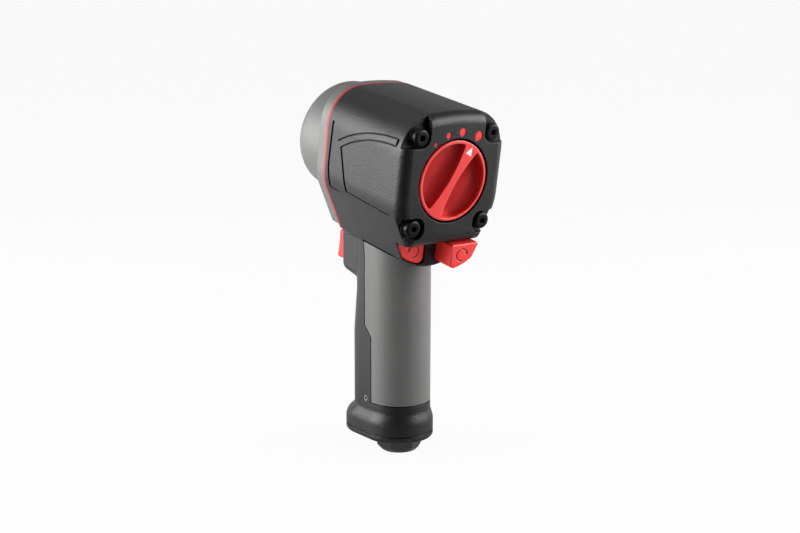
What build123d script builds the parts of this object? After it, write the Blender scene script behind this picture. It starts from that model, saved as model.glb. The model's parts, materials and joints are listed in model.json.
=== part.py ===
import os
from math import acos, cos, pi, radians, sin, tan

from build123d import *

# Air impact wrench, in millimetres.
# Frame: origin at the mouth of the air inlet, +Z up the handle, +Y towards the drive, +X to the right.
# The drive axis crosses the handle axis and rises towards the front. Sizes of the head are given along the
# drive axis (back is negative) and above it (below is negative).

# Drive axis
drive_tilt = 9.0
drive_height = 152.5

# Clearances
running_gap = 0.06
seat_gap = 0.04
free_gap = 0.3
flat_gap = 0.2
grip_groove = 0.6
overcut = 1.0

# Housing, head
head_back = -43.8
head_half_width = 31.0
head_top = 33.2
head_crown = 0.5
head_corner = 19.5
shoulder_height = -14.6
shoulder_round = 25.0
neck_half_width = 17.7
neck_edge = -41.5
neck_bottom = -47.0
block_overhang = 11.5
head_floor = -32.6
back_round = 5.5
floor_corner_round = 2.0
bay_radius = 24.5
rear_wall = 3.5

# Housing, handle, trigger boss and foot
handle_centre = 6.0
handle_flat = 11.0
handle_half_width = 16.5
handle_joint_depth = 34.5
boss_half_width = 13.2
boss_corner = 7.0
boss_shoulder = 15.0
boss_blend = 12.0
boss_root = 0.4
boss_front = 35.5
boss_lip = -42.3
chin_wall = 3.2
chin_slope = 7.5
chin_round = 4.4
heel_blend = 3.0
neck_blend = 1.7
finger_hollow = 2.5
handle_waist = 62.0
foot_centre = 8.6
foot_flat = 15.2
foot_half_width = 18.3
foot_height = 14.0
foot_flare = 11.2
foot_flare_round = 4.0
foot_shoulder = 6.5
foot_shoulder_round = 8.0
foot_wall = 3.5
seam_groove_height = 0.8
seam_groove_depth = 0.8

# Panel lines on the sides of the head: along the drive axis, above it
groove_width = 0.7
bold_groove_width = 1.4
groove_depth = 0.7
groove_front = ((16.0, 17.0), (17.2, -6.0), (15.6, -17.0))
groove_foot = ((15.6, -17.0), (8.0, -17.5))
groove_edge = ((7.7, 5.7), (1.1, -15.5))
groove_low = ((1.1, -15.5), (-34.5, -17.2))
groove_high = ((7.7, 5.7), (-13.6, 14.6), (-36.0, 17.4))
groove_top = ((10.7, 8.2), (-13.4, 18.0), (-36.6, 20.8))

# Grip skin
grip_skin = 2.0
grip_above_foot = 2.0
grip_front_high = 7.3
grip_front_low = 1.7
grip_step_start = 34.5
grip_step_height = 5.5
grip_lean_length = 13.0
grip_lean = 2.0

# Rear bolts
bolt_places = ((21.6, 22.5), (-21.6, 22.5), (21.2, -22.2), (-21.2, -22.2))
bolt_radius = 2.5
bolt_head_radius = 4.25
bolt_head_height = 3.5
bolt_head_round = 1.2
bolt_socket = 3.0
bolt_socket_depth = 2.0
bolt_grip = 5.0
bolt_hole_gap = 0.25
washer_radius = 5.0
washer_thickness = 1.0
pocket_depth = 4.4
pocket_across = 16.4
pocket_above = 17.3
pocket_round = 5.0
low_pocket_across = 14.8
low_pocket_top = -16.8
low_pocket_bottom = -28.2

# Front trim and hammer case
trim_thickness = 1.5
trim_bottom = -41.8
flange_inset = 0.3
flange_thickness = 7.5
flange_round = 1.6
flange_bottom = -40.4
flange_corner = 3.0
case_radius = 28.8
case_round = 7.0
case_wall = 7.0
case_cavity = 24.8
case_step = 2.5
nose_radius = 16.5
nose_length = 5.5
nose_chamfer = 1.0
spigot_inner = 21.0
spigot_length = 6.0

# Power dial and air regulator
dial_radius = 20.0
dial_thickness = 7.1
dial_recess_gap = 1.1
dial_angle = 31.0
dial_bar_middle = 4.0
dial_bar_end = 9.6
dial_rim = 1.4
dial_edge_round = 0.5
scoop_depth = 5.8
scoop_corner = 1.2
scoop_rim_depth = 1.6
scoop_bar_depth = 1.0
dial_stem_radius = 5.0
dial_oring_wire = 0.75
pointer_from_rim = 1.3
pointer_length = 4.1
pointer_half_width = 1.9
inlay_depth = 0.5
regulator_radius = 11.0
regulator_thickness = 1.6
regulator_port_circle = 8.0
screw_radius = 2.0
screw_head_radius = 3.6
screw_length = 5.0
screw_slot_width = 0.7
detent_circle = 13.0
detent_ball_radius = 1.5
detent_track_gap = 0.15
detent_rise = 0.6
detent_spring_length = 1.0

# Setting marks: angle clockwise from the top, then bulb radius and height of its centre above the dial
mark_angles = (-34.5, -14.0, 6.4, dial_angle)
mark_bulbs = (1.0, 1.5, 2.0, 2.3)
mark_rises = (2.8, 3.5, 4.2, 5.2)
mark_tip_rise = 1.6
mark_recess = 0.8
mark_thickness = 0.5

# Reverse buttons, racks and valve
rib_half_width = 3.1
button_gap = 0.3
button_inset = 0.8
button_sink = 0.8
button_corner = 3.2
button_top_corner = 1.2
button_depth = 13.6
button_edge_round = 1.0
rack_pitch = 3.15
pinion_teeth = 12
travel_teeth = 4
tooth_height = 0.7
tooth_clearance = 0.6
tooth_backlash = 0.3
pressure_angle = 20.0
rack_bottom = -40.0
rack_height = 5.0
rack_width = 3.8
pinion_offset = 22.1
reverse_valve_top = -25.2
reverse_port_width = 5.0
arrow_across = 10.2
arrow_above = -38.6
arrow_radius = 3.1
arrow_start = 60.0
arrow_sweep = 250.0
arrow_width = 0.9
arrow_head_width = 2.6
arrow_head_length = 2.1
arrow_depth = 0.5

# Trigger and throttle
trigger_half_width = 8.0
trigger_height = 15.8
trigger_drop = 41.5
trigger_front_top = 43.0
trigger_front_low = 46.0
trigger_hollow = 0.9
trigger_back = 29.6
trigger_travel = 5.0
trigger_corner = 2.0
trigger_rod_rise = 5.8
trigger_rod_radius = 2.2
trigger_rod_tip_radius = 1.4
trigger_rod_tip_length = 4.0
trigger_rod_grip = 7.0
throttle_lever = 28.0
throttle_seat_height = 5.0
throttle_seat_bore = 4.6
throttle_disc_radius = 7.2
throttle_disc_height = 3.0
throttle_stem_radius = 1.8
throttle_stem_rise = 2.4
throttle_spring_radius = 5.6
throttle_spring_wire = 0.9

# Air inlet, exhaust and foot
inlet_radius = 8.5
inlet_rise = 3.5
air_way_radius = 4.0
air_way_along = -4.0
air_way_rise = 10.0
hex_across_flats = 20.0
hex_height = 7.0
hex_chamfer = 0.9
plate_thickness = 4.0
bushing_top = 44.0
bushing_thread_radius = 5.9
bushing_thread_depth = 14.0
bushing_bore = 4.2
inlet_oring_height = 36.0
inlet_oring_wire = 1.2
screen_thickness = 1.6
screen_hole = 0.9
screen_pitch = 2.8
screen_rows = 3
pin_along = 7.0
pin_height = 28.0
pin_radius = 1.6
pin_bore = 0.8
pin_inset = 0.2
exhaust_across = 9.0
exhaust_along = 16.0
exhaust_radius = 4.2
muffler_back = 11.8
muffler_height = 9.0
plate_round = 2.0
plate_slot_length = 16.0
plate_slot_width = 2.2
plate_slot_pitch = 4.2
plate_slot_first = 16.0
plate_slot_count = 3

# Air motor
rear_plate_thickness = 5.9
cylinder_length = 32.0
front_plate_thickness = 6.5
cylinder_bore = 19.5
cylinder_offset = 1.7
cylinder_port = 2.2
cylinder_port_count = 5
cylinder_port_pitch = 5.6
rotor_radius = 17.5
rotor_rear_shaft = 4.0
rotor_front_shaft = 6.0
rotor_hex = 9.4
vane_count = 6
vane_thickness = 2.0
vane_height = 7.0
rear_bearing_radius = 11.0
rear_bearing_width = 4.6
rear_ball_radius = 1.6
front_bearing_radius = 14.0
front_bearing_width = 5.4
front_ball_radius = 1.9
bearing_ball_count = 9
bearing_land = 0.8
dowel_radius = 1.5
dowel_above = -21.4

# Impact mechanism and anvil
cage_hub_radius = 10.0
cage_radius = 24.2
cage_plate = 3.9
cage_length = 20.4
cage_front_plate = 3.5
cage_front_hole = 13.2
cage_web = 1.9
cage_web_half_width = 8.0
hammer_pin_radius = 2.75
hammer_pin_offset = 16.5
hammer_radius = 20.4
hammer_bore = 15.0
hammer_lug_radius = 11.0
hammer_lug_half_angle = 36.0
hammer_rock = 7.0
anvil_core = 8.5
anvil_jaw_radius = 12.5
anvil_jaw_half_angle = 20.0
anvil_pilot_radius = 4.5
anvil_pilot_length = 3.0
anvil_collar_radius = 12.0
anvil_shaft_radius = 9.5
front_bushing_radius = 12.0
square_drive = 12.7
square_corner = 1.4
square_length = 17.0
ring_from_end = 5.6
ring_width = 2.0
ring_groove_radius = 5.6
socket_ring_inner = 6.9
socket_ring_outer = 8.1
socket_ring_slot = 2.0
socket_oring_wire = 0.6

# Places along the drive axis
neck_back = head_back + block_overhang
pocket_floor = head_back + pocket_depth
dial_back = head_back + dial_thickness
dial_recess_floor = dial_back + flat_gap
bay_back = dial_recess_floor + rear_wall
regulator_back = bay_back + flat_gap
regulator_front = regulator_back + regulator_thickness
rear_plate_back = regulator_front + 3 * flat_gap
cylinder_back = rear_plate_back + rear_plate_thickness
cylinder_front = cylinder_back + cylinder_length
front_plate_front = cylinder_front + front_plate_thickness
head_front = front_plate_front + spigot_length
trim_front = head_front + trim_thickness
bolt_end = trim_front + bolt_grip
cage_back = trim_front + case_step + free_gap
cage_front = cage_back + cage_length
cavity_front = cage_front + 4 * free_gap
case_front = cavity_front + case_wall
nose_front = case_front + nose_length
square_front = nose_front + square_length
ring_front = square_front - ring_from_end
hammer_back = cage_back + cage_plate + free_gap
hammer_front = cage_front - cage_front_plate - free_gap
pinion_along = neck_back + pinion_offset

# Heights above the inlet
foot_seam = hex_height + plate_thickness
foot_top = foot_seam + foot_height
grip_bottom = foot_top + grip_above_foot
grip_step_low = grip_bottom + grip_step_start
grip_step_high = grip_step_low + grip_step_height
handle_top = drive_height - handle_joint_depth
trigger_top = drive_height - trigger_drop
trigger_bottom = trigger_top - trigger_height
boss_chin = trigger_bottom - chin_wall
boss_heel = boss_chin - chin_slope
rod_height = trigger_bottom + trigger_rod_rise
inlet_top = rod_height + inlet_rise
stem_top = rod_height + throttle_stem_rise
seat_bottom = rod_height - throttle_lever
spring_bottom = bushing_top + screen_thickness

# Other worked-out values
motor_radius = bay_radius - flat_gap
trigger_floor = trigger_back - trigger_travel - free_gap
handle_front = handle_centre + handle_flat / 2
button_top = head_floor - button_gap
button_face_in = neck_back + button_sink
button_end = button_face_in + button_depth
pinion_radius = rack_pitch * pinion_teeth / (2 * pi)
button_travel = travel_teeth * rack_pitch
reverse_bore = pinion_radius + tooth_height + free_gap
rack_root = pinion_radius + tooth_height + tooth_clearance
rack_tip = pinion_radius - tooth_height
rack_outer = rack_root + rack_width
rack_front = pinion_along + button_travel + rack_pitch
beyond = 4 * head_half_width
tilt_cos = cos(radians(drive_tilt))
tilt_sin = sin(radians(drive_tilt))
forward = (0, tilt_cos, tilt_sin)
backward = (0, -tilt_cos, -tilt_sin)
upward = (0, -tilt_sin, tilt_cos)


def head_point(across, along, above):
    return (across, along * tilt_cos - above * tilt_sin, drive_height + along * tilt_sin + above * tilt_cos)


def station(along):
    # Plane across the drive axis that faces forward
    return Plane(origin=head_point(0, along, 0), x_dir=(-1, 0, 0), z_dir=forward)


def rear_view(along):
    # Plane across the drive axis that faces backward, with +X to the right
    return Plane(origin=head_point(0, along, 0), x_dir=(1, 0, 0), z_dir=backward)


def level(above):
    # Plane parallel to the drive axis that faces up, with its local Y along the axis
    return Plane(origin=head_point(0, 0, above), x_dir=(1, 0, 0), z_dir=upward)


def side_plane(across, facing):
    # Plane parallel to the sides of the head that faces +X or -X
    return Plane(
        origin=head_point(across, 0, 0),
        x_dir=(0, facing * tilt_cos, facing * tilt_sin),
        z_dir=(facing, 0, 0),
    )


drive_axis = Axis(head_point(0, 0, 0), forward)
profile = side_plane(0, 1)


def head_section():
    corner_across = head_half_width - head_corner
    corner_above = head_top - head_corner
    with BuildLine() as outline:
        TangentArc((0, head_top + head_crown), (corner_across, head_top), tangent=(1, 0))
        CenterArc((corner_across, corner_above), head_corner, 0, 90)
        FilletPolyline(
            (head_half_width, corner_above),
            (head_half_width, shoulder_height),
            (neck_half_width, neck_edge),
            radius=shoulder_round,
        )
        TangentArc((0, neck_bottom), (neck_half_width, neck_edge), tangent=(1, 0))
        mirror(about=Plane.YZ)
    make_face(outline.edges())


def above_height(height):
    # Keeps what lies above a height in a section
    with Locations((0, height)):
        Rectangle(beyond, beyond, align=(Align.CENTER, Align.MIN), mode=Mode.INTERSECT)


def handle_outline(inset=0.0, hollow=0.0, mode=Mode.ADD):
    # A hollow takes depth off the front
    with Locations((0, handle_centre - hollow / 2)):
        SlotCenterToCenter(handle_flat - hollow, 2 * (handle_half_width - inset), rotation=90, mode=mode)


def foot_outline(inset=0.0, mode=Mode.ADD):
    with Locations((0, foot_centre)):
        SlotCenterToCenter(foot_flat, 2 * (foot_half_width - inset), rotation=90, mode=mode)


def tube(start, end, outer, inner=0.0, mode=Mode.ADD):
    # Round bar or tube on the drive axis
    with BuildSketch(station(start)) as face:
        Circle(outer)
        if inner > 0:
            Circle(inner, mode=Mode.SUBTRACT)
    extrude(face.sketch, amount=end - start, mode=mode)


def riser(bottom, top, outer, inner=0.0, along=0.0, mode=Mode.ADD):
    # Round bar or tube on an upright axis in the handle
    with BuildSketch(Plane.XY.offset(bottom)) as face:
        with Locations((0, along)):
            Circle(outer)
            if inner > 0:
                Circle(inner, mode=Mode.SUBTRACT)
    extrude(face.sketch, amount=top - bottom, mode=mode)


def drive_ring(along, centre_radius, wire, mode=Mode.ADD):
    # Ring of round wire about the drive axis
    with BuildSketch(profile) as section:
        with Locations((along, centre_radius)):
            Circle(wire)
    revolve(section.sketch, axis=drive_axis, mode=mode)


def finish(piece, name):
    piece.part.label = name
    export_step(piece.part, f"parts/{name}.step")


os.makedirs("parts", exist_ok=True)

# Housing, outer shapes
with BuildPart() as head_block:
    with BuildSketch(station(head_back)):
        head_section()
    extrude(amount=head_front - head_back)
    with BuildSketch(station(head_back)):
        with Locations((0, head_floor)):
            Rectangle(beyond, beyond, align=(Align.CENTER, Align.MAX))
    extrude(amount=neck_back - head_back, mode=Mode.SUBTRACT)
    floor_corners = head_block.edges().filter_by(Axis((0, 0, 0), forward))
    floor_corners = floor_corners.filter_by(lambda edge: abs(edge.length - neck_back + head_back) < seat_gap)
    fillet(floor_corners, floor_corner_round)
    fillet(head_block.faces().sort_by(drive_axis)[0].edges(), back_round)

with BuildPart() as boss_block:
    with BuildSketch(Plane.XY.offset(boss_heel)) as boss_plan:
        handle_outline(inset=boss_root, hollow=finger_hollow)
        with BuildLine():
            Polyline(
                (-boss_shoulder, handle_centre),
                (-boss_half_width, boss_front),
                (boss_half_width, boss_front),
                (boss_shoulder, handle_centre),
                close=True,
            )
        make_face()
        fillet(boss_plan.vertices().group_by(Axis.Y)[-1], boss_corner)
        valley = boss_plan.vertices().filter_by_position(Axis.Y, handle_front, boss_front - boss_corner)
        fillet(valley, boss_blend)
    extrude(amount=handle_top - boss_heel)
    with BuildSketch(Plane.YZ):
        with BuildLine():
            Polyline(
                (0, boss_heel),
                (boss_front, boss_chin),
                (boss_front, handle_top),
                (0, handle_top),
                close=True,
            )
        make_face()
    extrude(amount=beyond, both=True, mode=Mode.INTERSECT)
    chin_edges = boss_block.faces().sort_by(Axis.Z)[0].edges()
    fillet(chin_edges.filter_by(lambda edge: edge.center().Y > overcut), chin_round)

with BuildPart() as foot_block:
    with BuildSketch(Plane.XY.offset(foot_seam)):
        foot_outline()
    with BuildSketch(Plane.XY.offset(foot_seam + foot_shoulder)):
        foot_outline()
    with BuildSketch(Plane.XY.offset(foot_seam + foot_flare)):
        handle_outline()
    with BuildSketch(Plane.XY.offset(foot_top)):
        handle_outline()
    loft(ruled=True)
    for height, blend in ((foot_shoulder, foot_shoulder_round), (foot_flare, foot_flare_round)):
        lowest = foot_seam + height - flat_gap
        ring = foot_block.edges().filter_by_position(Axis.Z, lowest, lowest + 2 * flat_gap)
        fillet(ring, blend)


def grip_side(grow):
    # Side view of the grip: Y along the handle's depth, Z up
    with BuildLine() as outline:
        Polyline(
            (grip_front_low, grip_bottom),
            (grip_front_low, grip_step_low),
            (grip_front_high, grip_step_high),
            (grip_front_high, handle_top - grip_lean_length),
            (grip_front_high + grip_lean, handle_top),
            (-beyond, handle_top),
            (-beyond, grip_bottom),
            close=True,
        )
    make_face(outline.edges())
    if grow > 0:
        offset(amount=grow, kind=Kind.INTERSECTION)


with BuildPart() as grip_recess:
    with BuildSketch(Plane.XY.offset(grip_bottom - grip_groove)):
        handle_outline(inset=-grip_skin)
        handle_outline(inset=grip_skin + seat_gap, mode=Mode.SUBTRACT)
    extrude(amount=handle_top - grip_bottom)
    with BuildSketch(Plane.YZ):
        grip_side(grip_groove)
    extrude(amount=beyond, both=True, mode=Mode.INTERSECT)
    with BuildSketch(station(-beyond)):
        head_section()
    extrude(amount=2 * beyond, mode=Mode.SUBTRACT)


# Panel lines, cut to an even depth into the outline of the head
with BuildPart() as panel_lines:
    with BuildSketch(station(head_back)):
        head_section()
        offset(amount=-groove_depth, mode=Mode.SUBTRACT)
    extrude(amount=head_front - head_back)
    with BuildSketch(profile):
        with BuildLine() as bold_lines:
            Polyline(*groove_front)
            Line(*groove_edge)
            Line(groove_high[-1], groove_top[-1])
        trace(bold_lines.edges(), bold_groove_width)
        with BuildLine() as fine_lines:
            Line(*groove_foot)
            Line(*groove_low)
            ThreePointArc(*groove_high)
            ThreePointArc(*groove_top)
        trace(fine_lines.edges(), groove_width)
    extrude(amount=beyond, both=True, mode=Mode.INTERSECT)


def mark_faces(inset):
    # Four drops with their points towards the dial
    for angle, bulb, rise in zip(mark_angles, mark_bulbs, mark_rises):
        distance = dial_radius + rise
        out_x = sin(radians(angle))
        out_y = cos(radians(angle))
        radius = bulb - inset
        tip = dial_radius + mark_tip_rise + inset
        flank = acos(radius / (distance - tip))
        along = distance - radius * cos(flank)
        across = radius * sin(flank)
        with Locations((distance * out_x, distance * out_y)):
            Circle(radius)
        with BuildLine() as point:
            Polyline(
                (along * out_x + across * out_y, along * out_y - across * out_x),
                (tip * out_x, tip * out_y),
                (along * out_x - across * out_y, along * out_y + across * out_x),
                close=True,
            )
        make_face(point.edges())


def button_face(inset, gap, side):
    # Quarter shape of a reverse button, following the outline of the neck
    head_section()
    offset(amount=-inset)
    with Locations((side * (rib_half_width + button_gap - gap), button_top + gap)):
        near_side = Align.MIN if side > 0 else Align.MAX
        Rectangle(beyond, beyond, align=(near_side, Align.MAX), mode=Mode.INTERSECT)


# Housing
with BuildPart() as housing:
    add(head_block.part)
    with BuildSketch(Plane.XY.offset(foot_top)):
        handle_outline()
    extrude(amount=handle_waist - foot_top)
    with BuildSketch(Plane.XY.offset(handle_waist)):
        handle_outline()
    with BuildSketch(Plane.XY.offset(boss_heel)):
        handle_outline(hollow=finger_hollow)
    loft()
    with BuildSketch(Plane.XY.offset(boss_heel)):
        handle_outline(hollow=finger_hollow)
    extrude(amount=handle_top - boss_heel)
    add(boss_block.part)
    # Soft blend between the chin and the front of the handle
    heel_edges = housing.edges().filter_by(GeomType.ELLIPSE)
    fillet(heel_edges.filter_by_position(Axis.Z, boss_heel, boss_chin), heel_blend)
    # Soft blend between the head and the sides of the boss
    curve_types = (GeomType.BSPLINE, GeomType.ELLIPSE)
    neck_edges = housing.edges().filter_by(lambda edge: edge.geom_type in curve_types)
    neck_edges = neck_edges.filter_by(lambda edge: edge.center().Y > handle_front)
    neck_edges = neck_edges.filter_by_position(Axis.Z, trigger_top - neck_blend, handle_top)
    fillet(neck_edges.filter_by(lambda edge: abs(edge.center().X) > boss_half_width), neck_blend)
    add(foot_block.part)
    # Room for the front trim and hammer case above the lip of the trigger boss
    with BuildSketch(station(head_front)):
        with Locations((0, boss_lip)):
            Rectangle(beyond, beyond, align=(Align.CENTER, Align.MIN))
    extrude(amount=beyond, mode=Mode.SUBTRACT)
    add(grip_recess.part, mode=Mode.SUBTRACT)
    # Motor bay
    tube(bay_back, head_front, bay_radius, mode=Mode.SUBTRACT)
    # Bolt pockets and bolt holes
    with BuildSketch(rear_view(pocket_floor)):
        for side in (-1, 1):
            with Locations((side * (pocket_across + head_half_width), pocket_above + head_half_width)):
                RectangleRounded(2 * head_half_width, 2 * head_half_width, pocket_round)
            low_middle = (low_pocket_top + low_pocket_bottom) / 2
            with Locations((side * (low_pocket_across + head_half_width), low_middle)):
                RectangleRounded(2 * head_half_width, low_pocket_top - low_pocket_bottom, pocket_round)
    extrude(amount=head_half_width, mode=Mode.SUBTRACT)
    with BuildSketch(rear_view(head_front)):
        with Locations(*bolt_places):
            Circle(bolt_radius + bolt_hole_gap)
    extrude(amount=head_front - pocket_floor, mode=Mode.SUBTRACT)
    # Dial recess, stem bore and detent pocket
    tube(head_back - overcut, dial_recess_floor, dial_radius + dial_recess_gap, mode=Mode.SUBTRACT)
    tube(dial_recess_floor - overcut, bay_back + overcut, dial_stem_radius + running_gap, mode=Mode.SUBTRACT)
    detent_bottom = dial_recess_floor + detent_ball_radius * 2 - detent_rise + detent_spring_length
    with BuildSketch(rear_view(detent_bottom)):
        with Locations((0, -detent_circle)):
            Circle(detent_ball_radius + running_gap)
    extrude(amount=detent_bottom - dial_recess_floor + overcut, mode=Mode.SUBTRACT)
    # Recesses of the setting marks
    with BuildSketch(rear_view(head_back + mark_recess)):
        mark_faces(0)
    extrude(amount=2 * mark_recess, mode=Mode.SUBTRACT)
    # Pockets of the reverse buttons, with their slots and the bore of the reverse valve
    for side in (-1, 1):
        with BuildSketch(rear_view(button_end + free_gap)) as pocket:
            button_face(button_inset - button_gap, button_gap, side)
            low_corners = pocket.vertices().filter_by_position(Axis.Y, -beyond, button_top - button_corner)
            fillet(low_corners, button_corner)
            fillet(pocket.vertices().group_by(Axis.Y)[-1], button_top_corner)
        extrude(amount=2 * button_depth, mode=Mode.SUBTRACT)
        with BuildSketch(level(rack_bottom - free_gap)):
            slot_inner = rack_tip - free_gap
            with Locations((side * slot_inner, rack_front + free_gap)):
                near_side = Align.MIN if side > 0 else Align.MAX
                slot_length = rack_front + free_gap - button_end
                Rectangle(rack_outer + free_gap - slot_inner, slot_length, align=(near_side, Align.MAX))
        extrude(amount=rack_height + 2 * free_gap, mode=Mode.SUBTRACT)
    with BuildSketch(level(rack_bottom - 2 * free_gap)):
        with Locations((0, pinion_along)):
            Circle(reverse_bore)
    extrude(amount=bay_radius, mode=Mode.SUBTRACT)
    # Inlet passage, air way, exhaust ways and exhaust chamber
    riser(foot_seam - overcut, inlet_top, inlet_radius, mode=Mode.SUBTRACT)
    air_way_top = inlet_top + air_way_rise
    riser(inlet_top - overcut, air_way_top, air_way_radius, along=air_way_along, mode=Mode.SUBTRACT)
    with BuildSketch(Plane.XY.offset(foot_seam - overcut)):
        with Locations((exhaust_across, exhaust_along), (-exhaust_across, exhaust_along)):
            Circle(exhaust_radius)
    extrude(amount=drive_height - bay_radius / 2 - foot_seam, mode=Mode.SUBTRACT)
    with BuildSketch(Plane.XY.offset(foot_seam - overcut)):
        foot_outline(inset=foot_wall)
        with Locations((0, muffler_back)):
            Rectangle(beyond, beyond, align=(Align.CENTER, Align.MIN), mode=Mode.INTERSECT)
    extrude(amount=muffler_height + overcut, mode=Mode.SUBTRACT)
    # Trigger pocket and rod bore
    with BuildSketch(Plane.XZ.offset(-trigger_floor)):
        with Locations((0, (trigger_bottom + trigger_top) / 2)):
            Rectangle(2 * (trigger_half_width + free_gap), trigger_top - trigger_bottom + 2 * free_gap)
    extrude(amount=-boss_front, mode=Mode.SUBTRACT)
    with BuildSketch(Plane.XZ):
        with Locations((0, rod_height)):
            Circle(trigger_rod_radius + running_gap)
    extrude(amount=-boss_front, mode=Mode.SUBTRACT)
    # Hole of the retaining pin
    with BuildSketch(Plane.YZ):
        with Locations((pin_along, pin_height)):
            Circle(pin_radius + seat_gap)
    extrude(amount=beyond, both=True, mode=Mode.SUBTRACT)
    add(panel_lines.part, mode=Mode.SUBTRACT)

finish(housing, "housing")

# Grip skin
with BuildPart() as handle_grip:
    with BuildSketch(Plane.XY.offset(grip_bottom)):
        handle_outline()
        handle_outline(inset=grip_skin, mode=Mode.SUBTRACT)
    extrude(amount=handle_top - grip_bottom)
    with BuildSketch(Plane.YZ):
        grip_side(0)
    extrude(amount=beyond, both=True, mode=Mode.INTERSECT)
    with BuildSketch(station(-beyond)):
        head_section()
        offset(amount=grip_groove)
    extrude(amount=2 * beyond, mode=Mode.SUBTRACT)

finish(handle_grip, "handle_grip")

# Front trim
with BuildPart() as front_trim:
    with BuildSketch(station(head_front)):
        head_section()
        above_height(trim_bottom)
        Circle(bay_radius, mode=Mode.SUBTRACT)
        with Locations(*bolt_places):
            Circle(bolt_radius + bolt_hole_gap, mode=Mode.SUBTRACT)
    extrude(amount=trim_thickness)

finish(front_trim, "front_trim")

# Hammer case
with BuildPart() as hammer_case:
    with BuildSketch(station(trim_front)) as flange:
        head_section()
        offset(amount=-flange_inset)
        above_height(flange_bottom)
        fillet(flange.vertices().group_by(Axis.Y)[0], flange_corner)
    extrude(amount=flange_thickness)
    fillet(hammer_case.faces().sort_by(drive_axis)[-1].edges(), flange_round)
    with BuildSketch(profile):
        with BuildLine():
            Polyline(
                (nose_front, 0),
                (trim_front, 0),
                (trim_front, case_radius),
                (case_front - case_round, case_radius),
            )
            CenterArc((case_front - case_round, case_radius - case_round), case_round, 0, 90)
            Polyline(
                (case_front, case_radius - case_round),
                (case_front, nose_radius),
                (nose_front - nose_chamfer, nose_radius),
                (nose_front, nose_radius - nose_chamfer),
                (nose_front, 0),
            )
        make_face()
    revolve(axis=drive_axis)
    tube(front_plate_front, trim_front, motor_radius)
    tube(front_plate_front, trim_front + case_step, spigot_inner, mode=Mode.SUBTRACT)
    tube(trim_front + case_step, cavity_front, case_cavity, mode=Mode.SUBTRACT)
    tube(cavity_front, nose_front, front_bushing_radius + seat_gap, mode=Mode.SUBTRACT)
    with BuildSketch(station(trim_front)):
        with Locations(*bolt_places):
            Circle(bolt_radius + seat_gap)
    extrude(amount=bolt_grip + free_gap, mode=Mode.SUBTRACT)

finish(hammer_case, "hammer_case")

# Rear bolts and washers
bolt_seat = pocket_floor - washer_thickness
with BuildPart() as housing_bolts:
    with BuildSketch(rear_view(bolt_seat)):
        with Locations(*bolt_places):
            Circle(bolt_head_radius)
    extrude(amount=bolt_head_height)
    fillet(housing_bolts.faces().group_by(drive_axis)[0].edges(), bolt_head_round)
    with BuildSketch(rear_view(bolt_end)):
        with Locations(*bolt_places):
            Circle(bolt_radius)
    extrude(amount=bolt_end - bolt_seat)
    with BuildSketch(rear_view(bolt_seat - bolt_head_height + bolt_socket_depth)):
        with Locations(*bolt_places):
            RegularPolygon(bolt_socket / 2, 6, major_radius=False)
    extrude(amount=bolt_head_height, mode=Mode.SUBTRACT)

finish(housing_bolts, "housing_bolts")

with BuildPart() as bolt_washers:
    with BuildSketch(rear_view(pocket_floor)):
        with Locations(*bolt_places):
            Circle(washer_radius)
            Circle(bolt_radius + seat_gap, mode=Mode.SUBTRACT)
    extrude(amount=washer_thickness)

finish(bolt_washers, "bolt_washers")


def dial_plane(along):
    # Plane of the dial that faces backward, with its local Y along the grip bar
    turn = radians(dial_angle)
    return Plane(
        origin=head_point(0, along, 0),
        x_dir=(cos(turn), sin(turn) * tilt_sin, -sin(turn) * tilt_cos),
        z_dir=backward,
    )


def pointer_face(inset):
    point = dial_radius - pointer_from_rim
    base = point - pointer_length
    with BuildLine() as outline:
        Polyline(
            (0, point - inset),
            (-pointer_half_width + inset, base + inset),
            (pointer_half_width - inset, base + inset),
            close=True,
        )
    make_face(outline.edges())


# Hollows beside the dial's grip bar
with BuildPart() as dial_scoops:
    bar_waist = dial_bar_middle / 2
    bar_flare = dial_bar_end / 2
    scoop_radius = dial_radius - dial_rim
    with BuildSketch(dial_plane(head_back + scoop_depth)) as scoop_plan:
        Circle(scoop_radius)
        with BuildLine():
            ThreePointArc((bar_flare, dial_radius), (bar_waist, 0), (bar_flare, -dial_radius))
            Line((bar_flare, -dial_radius), (-bar_flare, -dial_radius))
            ThreePointArc((-bar_flare, -dial_radius), (-bar_waist, 0), (-bar_flare, dial_radius))
            Line((-bar_flare, dial_radius), (bar_flare, dial_radius))
        make_face(mode=Mode.SUBTRACT)
        fillet(scoop_plan.vertices(), scoop_corner)
    extrude(amount=scoop_depth + overcut)
    bar_plane = dial_plane(head_back)
    across_bar = Plane(origin=bar_plane.origin, x_dir=bar_plane.x_dir, z_dir=bar_plane.y_dir)
    with BuildSketch(across_bar):
        with BuildLine():
            hollow = ((scoop_radius + bar_waist) / 2, scoop_depth)
            Polyline(
                (0, -scoop_depth),
                (dial_radius, -scoop_depth),
                (dial_radius, scoop_rim_depth),
                (scoop_radius, scoop_rim_depth),
            )
            ThreePointArc((scoop_radius, scoop_rim_depth), hollow, (bar_waist, scoop_bar_depth))
            Line((bar_waist, scoop_bar_depth), (0, scoop_bar_depth))
            mirror(about=Plane.YZ)
        make_face()
    extrude(amount=dial_radius, both=True, mode=Mode.INTERSECT)

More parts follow.
